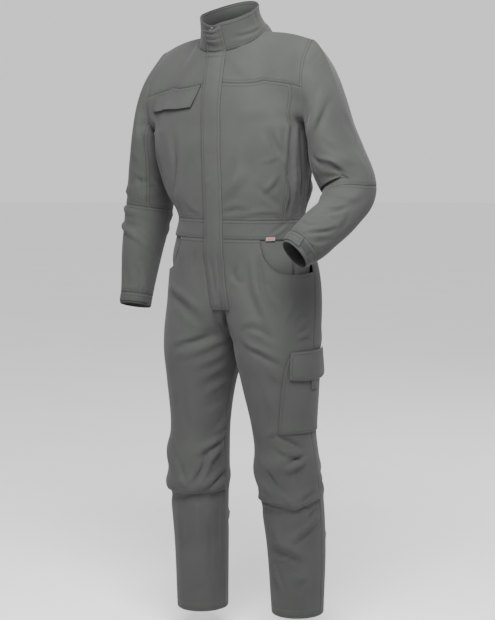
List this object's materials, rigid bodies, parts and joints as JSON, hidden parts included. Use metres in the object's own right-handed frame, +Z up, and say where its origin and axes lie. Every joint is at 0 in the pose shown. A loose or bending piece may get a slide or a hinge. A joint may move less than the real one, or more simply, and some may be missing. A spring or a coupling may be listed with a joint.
{
  "type": "boiler suit, worn",
  "caption": "Worn hollow boiler suit in grey twill: stand collar, storm flap over the zip, elastic waist, long sleeves with one forearm raised, knee patches and a thigh pocket.",
  "frame": {"origin": "middle of the neck seam, where the wearer's neck and shoulders hold the suit", "axes": "+X to the wearer's left, -Y to the wearer's front, +Z up along the standing wearer, from the hems to the neck"},
  "size_m": [0.7253, 0.3601, 1.5556],
  "materials": {
    "twill": "matt grey cotton and polyester twill, fine diagonal rib",
    "trim": "dark grey woven tape, matt",
    "zip_tape": "grey woven zip tape, matt",
    "label": "woven red field with a grey edge, bare",
    "zip_metal": "dull nickel"
  },
  "bodies": {
    "root": {"back": "twill", "collar": "twill", "waistband_back": "twill", "front_flap": "twill", "zip_slider": "zip_metal", "chest_flap_R": "twill", "cargo_pocket_L": "twill", "cargo_flap_L": "twill", "cargo_tab_L": "trim", "label_tab": "label", "front_L": "twill", "front_R": "twill", "side_L": "twill", "side_R": "twill", "yoke_L": "twill", "yoke_R": "twill", "waistband_front_L": "twill", "waistband_front_R": "twill", "sleeve_top_L": "twill", "sleeve_top_R": "twill", "sleeve_under_L": "twill", "sleeve_under_R": "twill", "forearm_L": "twill", "forearm_R": "twill", "cuff_L": "twill", "cuff_R": "twill", "cuff_strap_L": "twill", "cuff_strap_R": "twill", "leg_front_L": "twill", "leg_front_R": "twill", "leg_back_L": "twill", "leg_back_R": "twill", "hip_facing_L": "twill", "hip_facing_R": "twill", "knee_patch_L": "twill", "knee_patch_R": "twill", "zip_tape_L": "zip_tape", "zip_tape_R": "zip_tape"}
  },
  "joints": []
}
